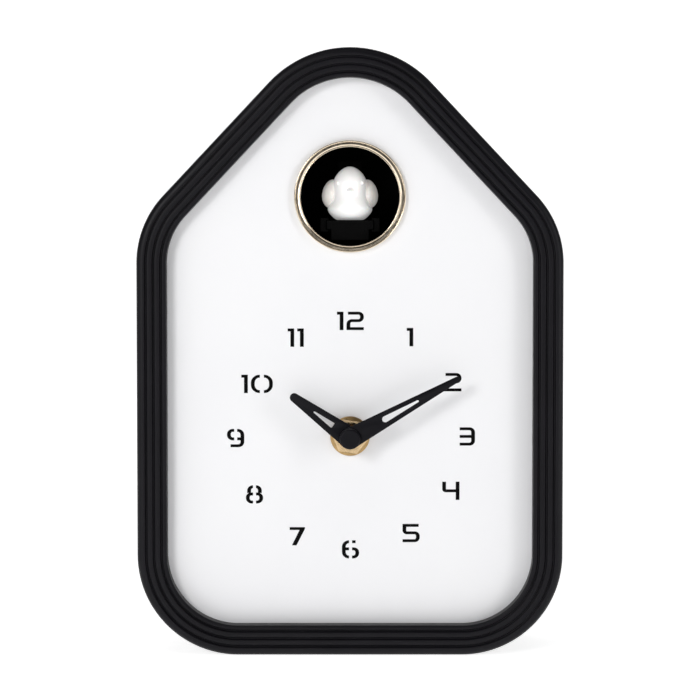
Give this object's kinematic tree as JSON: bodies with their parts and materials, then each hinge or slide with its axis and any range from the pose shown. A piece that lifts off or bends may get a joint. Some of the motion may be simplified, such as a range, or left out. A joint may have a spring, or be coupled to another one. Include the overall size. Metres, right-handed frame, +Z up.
{
  "type": "cuckoo clock",
  "caption": "House-shaped table clock with a ribbed case, a white dial with two hands, and a round window from which a small white bird slides out.",
  "frame": {"origin": "centre of the footprint, on the surface the clock stands on", "axes": "+Z up, -Y out of the dial towards the viewer, +X to the viewer's right"},
  "size_m": [0.1586, 0.0676, 0.226],
  "materials": {
    "case_black": "fine matt moulded plastic, almost black",
    "dial_white": "smooth white sheet",
    "ring_champagne": "polished champagne plating",
    "inner_black": "dull black moulding",
    "cover_black": "fine spark-eroded texture",
    "movement_grey": "dark grey moulding",
    "bird_white": "glossy white moulding",
    "wing_cream": "glossy warm white moulding",
    "brass_turned": "turned brass, satin",
    "steel_plated": "zinc or nickel plated steel",
    "hand_black": "matt black paint",
    "copper_winding": "enamelled copper wire",
    "gasket_rubber": "plain black rubber",
    "acetal_natural": "natural acetal",
    "board_green": "green solder mask",
    "cone_paper": "black pressed paper",
    "battery_jacket": "glossy film over the can, no print",
    "lead_red": "thin insulated wire",
    "lead_black": "thin insulated wire"
  },
  "bodies": {
    "case": {"case_shell": "case_black", "dial_plate": "dial_white", "window_ring": "ring_champagne", "window_tunnel": "inner_black", "guide_rail_left": "inner_black", "guide_rail_right": "inner_black", "mechanism_frame": "inner_black", "movement_case_front": "inner_black", "battery_tray": "inner_black", "button_body": "inner_black", "back_cover": "cover_black", "movement_case_back": "movement_grey", "threaded_bushing": "brass_turned", "bushing_washer": "brass_turned", "bushing_nut": "brass_turned", "cover_screw_1": "steel_plated", "cover_screw_2": "steel_plated", "cover_screw_3": "steel_plated", "cover_screw_4": "steel_plated", "door_hinge_pin": "steel_plated", "battery_spring_1": "steel_plated", "battery_spring_2": "steel_plated", "battery_contact_1": "steel_plated", "battery_contact_2": "steel_plated", "movement_stator": "steel_plated", "quartz_crystal": "steel_plated", "drive_axle": "steel_plated", "bird_motor": "steel_plated", "speaker_basket": "steel_plated", "speaker_magnet": "steel_plated", "switch_body": "steel_plated", "movement_coil": "copper_winding", "movement_gasket": "gasket_rubber", "movement_board": "board_green", "control_board": "board_green", "speaker_cone": "cone_paper", "battery_1": "battery_jacket", "battery_2": "battery_jacket", "battery_lead_red": "lead_red", "motor_lead": "lead_red", "battery_lead_black": "lead_black", "speaker_lead": "lead_black"},
    "minute_set": {"minute_arbor": "acetal_natural", "minute_hand": "hand_black", "hand_cap": "hand_black"},
    "hour_set": {"hour_wheel": "acetal_natural", "hour_hand": "hand_black"},
    "setting_set": {"minute_wheel": "acetal_natural", "setting_knob": "acetal_natural"},
    "bird_set": {"bird_carriage": "inner_black", "bird_body": "bird_white", "bird_wing_left": "wing_cream", "bird_wing_right": "wing_cream"},
    "drive_set": {"drive_gear": "inner_black"},
    "motor_rotor": {"motor_pinion": "inner_black"},
    "door": {"battery_door": "cover_black"},
    "switch_slider": {"mode_switch": "cover_black"},
    "button": {"test_button": "cover_black"}
  },
  "joints": [
    {"name": "minute_spin", "type": "hinge", "parent": "case", "child": "minute_set", "pos_m": [0, 0, 0.0815], "axis": [0, 1, 0], "continuous": true},
    {"name": "hour_spin", "type": "hinge", "parent": "case", "child": "hour_set", "pos_m": [0, 0, 0.0815], "axis": [0, 1, 0], "continuous": true},
    {"name": "setting_spin", "type": "hinge", "parent": "case", "child": "setting_set", "pos_m": [0, 0, 0.0695], "axis": [0, 1, 0], "continuous": true},
    {"name": "bird_slide", "type": "slide", "parent": "case", "child": "bird_set", "axis": [0, -1, 0], "range_m": [0, 0.02]},
    {"name": "drive_spin", "type": "hinge", "parent": "case", "child": "drive_set", "pos_m": [0, 0.00375, 0.1519], "axis": [1, 0, 0], "range_deg": [0, 290]},
    {"name": "motor_spin", "type": "hinge", "parent": "case", "child": "motor_rotor", "pos_m": [0, 0.00375, 0.1419], "axis": [1, 0, 0], "range_deg": [-1150, 0]},
    {"name": "battery_door_hinge", "type": "hinge", "parent": "case", "child": "door", "pos_m": [0, 0.03215, 0.01125], "axis": [-1, 0, 0], "range_deg": [0, 95]},
    {"name": "mode_switch_slide", "type": "slide", "parent": "case", "child": "switch_slider", "axis": [1, 0, 0], "range_m": [0, 0.004]},
    {"name": "test_button_press", "type": "slide", "parent": "case", "child": "button", "axis": [0, -1, 0], "range_m": [0, 0.0015], "stiffness_N_per_m": 400, "springref_m": -0.0005}
  ],
  "couplings": [
    {"joint": "hour_spin", "follows": "minute_spin", "ratio": 0.083333},
    {"joint": "setting_spin", "follows": "minute_spin", "ratio": -0.33333},
    {"joint": "drive_spin", "follows": "bird_slide", "rad_per_m": 250},
    {"joint": "motor_spin", "follows": "bird_slide", "rad_per_m": -1000}
  ]
}
